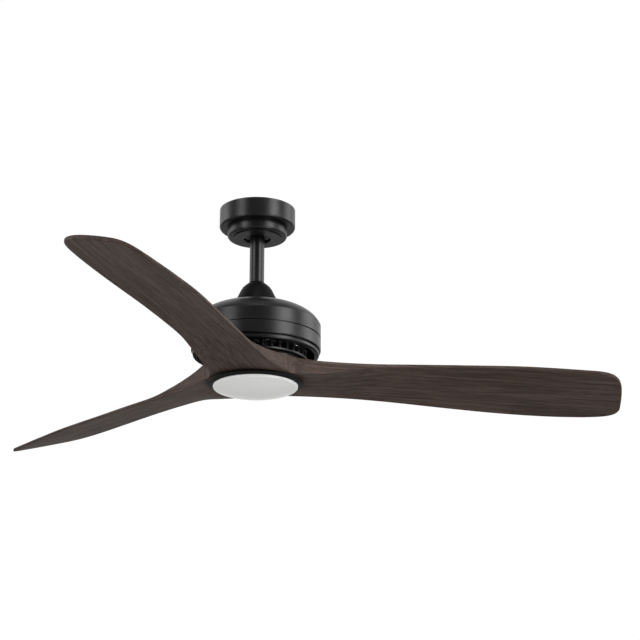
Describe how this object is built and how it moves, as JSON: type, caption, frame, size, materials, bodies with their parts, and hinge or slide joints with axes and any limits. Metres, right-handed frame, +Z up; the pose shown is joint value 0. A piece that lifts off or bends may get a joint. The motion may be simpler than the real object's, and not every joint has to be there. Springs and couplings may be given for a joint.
{
  "type": "ceiling fan with light",
  "caption": "Ceiling fan with carved wooden blades, domed black motor housing, short down-rod, ball hanger under a round canopy, and a shallow opal LED light.",
  "frame": {"origin": "on the ceiling plane, at the middle of the hanger bracket's top face", "axes": "+Z up into the ceiling along the fan axis; X along the bracket and its two screw slots; Y across it"},
  "size_m": [1.1155, 1.1353, 0.332],
  "materials": {
    "black_metal": "satin black powder coat",
    "zinc_steel": "zinc plated",
    "brass": "plain",
    "bearing_steel": "ground",
    "ball_plastic": "moulded black nylon",
    "terminal_plastic": "moulded",
    "wood": "dark walnut stain under matt lacquer",
    "rubber": "matt",
    "lamination": "stacked electrical steel",
    "winding": "enamelled copper wire",
    "ferrite": "sintered ferrite",
    "cast_aluminium": "die cast",
    "bright_screws": "nickel plated",
    "circuit_board": "solder mask",
    "components": "moulded cases",
    "led_substrate": "white solder mask",
    "led_emitter": "phosphor",
    "opal": "translucent opal acrylic"
  },
  "bodies": {
    "ceiling_mount": {"hanger_bracket": "zinc_steel", "earth_screw": "brass", "terminal_block": "terminal_plastic", "terminal_screws": "brass", "canopy": "black_metal", "canopy_screws": "zinc_steel"},
    "canopy_cover": {"canopy_cover": "black_metal"},
    "fan_body": {"ball_cross_pin": "zinc_steel", "ball_set_screw": "zinc_steel", "bearing_balls": "bearing_steel", "bearing_inner_races": "bearing_steel", "board_screws": "zinc_steel", "board_standoffs": "ball_plastic", "clevis_pin": "zinc_steel", "coupling_cover": "black_metal", "coupling_set_screws": "zinc_steel", "downrod": "black_metal", "driver_board": "circuit_board", "driver_components": "components", "hairpin_clip": "zinc_steel", "hanger_ball": "ball_plastic", "housing_lower": "black_metal", "housing_screws": "zinc_steel", "housing_top": "black_metal", "housing_trim_ring": "black_metal", "led_board": "led_substrate", "led_board_screws": "zinc_steel", "leds": "led_emitter", "light_nut": "zinc_steel", "light_pan": "cast_aluminium", "light_trim_ring": "black_metal", "motor_coupling": "zinc_steel", "motor_leads": "rubber", "motor_shaft": "zinc_steel", "stator_coils": "winding", "stator_core": "lamination"},
    "rotor": {"rotor_yoke": "zinc_steel", "rotor_magnets": "ferrite", "rotor_top_shell": "cast_aluminium", "rotor_bottom_shell": "cast_aluminium", "rotor_screws": "bright_screws", "bearing_outer_races": "bearing_steel", "blade_plate": "black_metal", "plate_screws": "zinc_steel", "blade_gasket": "rubber", "blade_1": "wood", "blade_2": "wood", "blade_3": "wood", "blade_screws": "zinc_steel"},
    "diffuser": {"diffuser": "opal"}
  },
  "joints": [
    {"name": "cover_twist", "type": "hinge", "parent": "ceiling_mount", "child": "canopy_cover", "pos_m": [0, 0, -0.034], "axis": [0, 0, -1], "range_deg": [0, 14]},
    {"name": "hanger_tilt", "type": "hinge", "parent": "ceiling_mount", "child": "fan_body", "pos_m": [0, 0, -0.026], "axis": [1, 0, 0], "range_deg": [-18, 18]},
    {"name": "rotor_spin", "type": "hinge", "parent": "fan_body", "child": "rotor", "pos_m": [0, 0, -0.24], "axis": [0, 0, 1], "continuous": true},
    {"name": "lens_twist", "type": "hinge", "parent": "fan_body", "child": "diffuser", "pos_m": [0, 0, -0.314], "axis": [0, 0, 1], "range_deg": [0, 25]}
  ]
}
